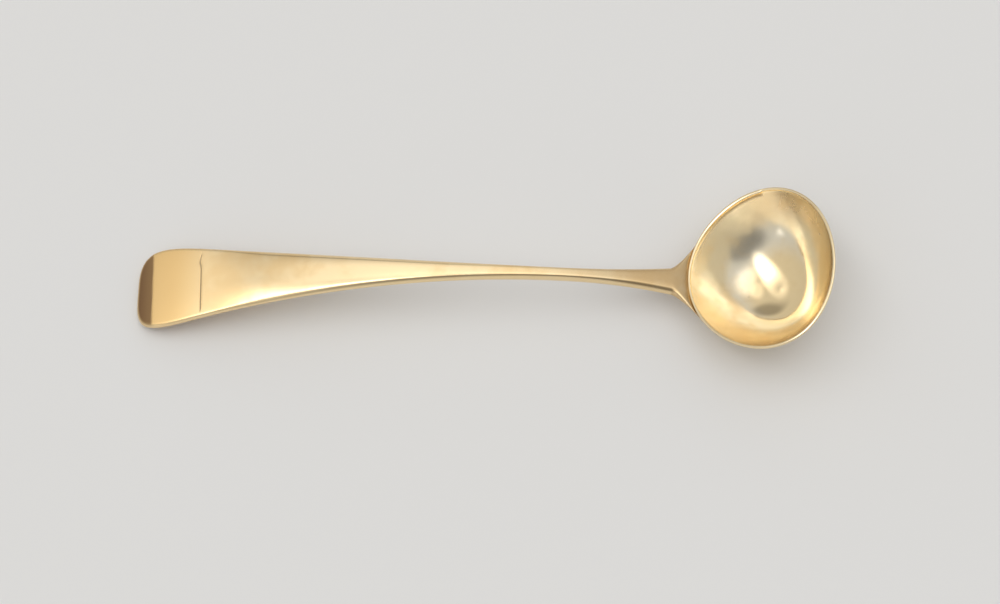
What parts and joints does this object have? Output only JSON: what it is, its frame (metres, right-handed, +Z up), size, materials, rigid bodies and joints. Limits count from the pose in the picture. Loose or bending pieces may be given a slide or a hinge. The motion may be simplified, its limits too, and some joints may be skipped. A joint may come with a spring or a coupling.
{
  "type": "salt spoon",
  "caption": "Small silver condiment spoon with a deep round bowl pitched up from a plain arched handle, which widens to a rounded, turned-down end.",
  "frame": {"origin": "on the surface that the spoon lies on, below the middle of its length and width", "axes": "+X along the spoon from the handle's end to the bowl, +Y across it, +Z up"},
  "size_m": [0.1024, 0.0252, 0.0151],
  "materials": {
    "silver": "polished",
    "gilt_silver": "polished",
    "silver_solder": "satin"
  },
  "bodies": {
    "root": {"bowl": "gilt_silver", "stem": "silver", "solder_seam": "silver_solder"}
  },
  "joints": []
}
